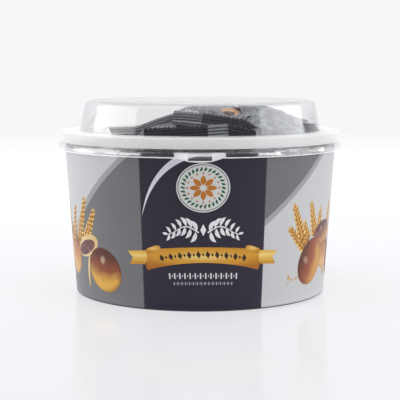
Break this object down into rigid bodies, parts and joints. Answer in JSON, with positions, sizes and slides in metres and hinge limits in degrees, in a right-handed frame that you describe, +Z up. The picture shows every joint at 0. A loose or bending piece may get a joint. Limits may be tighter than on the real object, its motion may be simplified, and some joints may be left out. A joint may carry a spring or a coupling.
{
  "type": "lidded tub of wrapped date cookies",
  "caption": "Round clear plastic tub with a printed wall label and a clear domed press-on lid, filled with a loose heap of flow-wrapped date-filled cookies.",
  "frame": {"origin": "middle of the flat underside of the tub, on its axis", "axes": "+Z up along the tub's axis, -Y towards the front, where the tear tab is, +X to the right seen from the front"},
  "size_m": [0.18, 0.1866, 0.1216],
  "materials": {
    "clear_tub": "clear moulded polypropylene, glossy",
    "clear_lid": "clear moulded polypropylene, glossy",
    "printed_label": "in-mould film printed in charcoal, greys, gold and brown, satin gloss",
    "dark_film": "printed flow-wrap film, charcoal, soft gloss",
    "grey_film": "printed flow-wrap film, mid grey, soft gloss",
    "light_film": "printed flow-wrap film, light grey, soft gloss"
  },
  "bodies": {
    "root": {"tub": "clear_tub", "label": "printed_label", "lid": "clear_lid", "packet_front": "dark_film", "packet_left": "dark_film", "packet_right": "dark_film", "packet_back_right": "dark_film", "packet_front_right": "light_film", "packet_back": "light_film", "packet_left_low": "light_film", "packet_top": "grey_film", "packet_front_left": "grey_film", "packet_back_left": "grey_film", "packet_right_low": "grey_film", "packets_below": "grey_film"}
  },
  "joints": []
}
